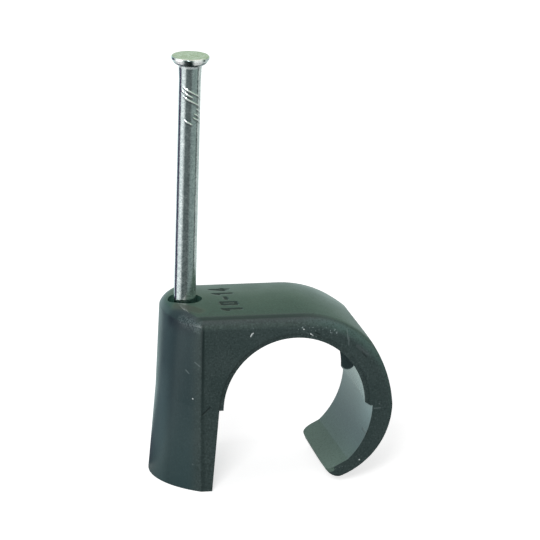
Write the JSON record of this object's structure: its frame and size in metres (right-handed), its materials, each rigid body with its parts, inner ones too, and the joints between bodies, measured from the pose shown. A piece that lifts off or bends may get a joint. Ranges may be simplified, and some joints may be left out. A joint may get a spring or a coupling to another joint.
{
  "type": "cable clip",
  "caption": "Moulded plastic hook clip for one round cable, with a steel masonry nail standing in its leg, ready to be driven into a wall.",
  "frame": {"origin": "where the nail's axis meets the wall plane, in the middle of the leg's foot, which is the wall_foot mount's place", "axes": "+Z along the nail, away from the wall; +X from the leg towards the hook; +Y along the cable, away from the rimmed face"},
  "size_m": [0.0212, 0.0128, 0.0393],
  "materials": {
    "clip_plastic": "satin moulded plastic",
    "nail_steel": "zinc-plated wire, lightly scuffed"
  },
  "bodies": {
    "root": {"clip_body": "clip_plastic", "nail": "nail_steel"}
  },
  "joints": []
}
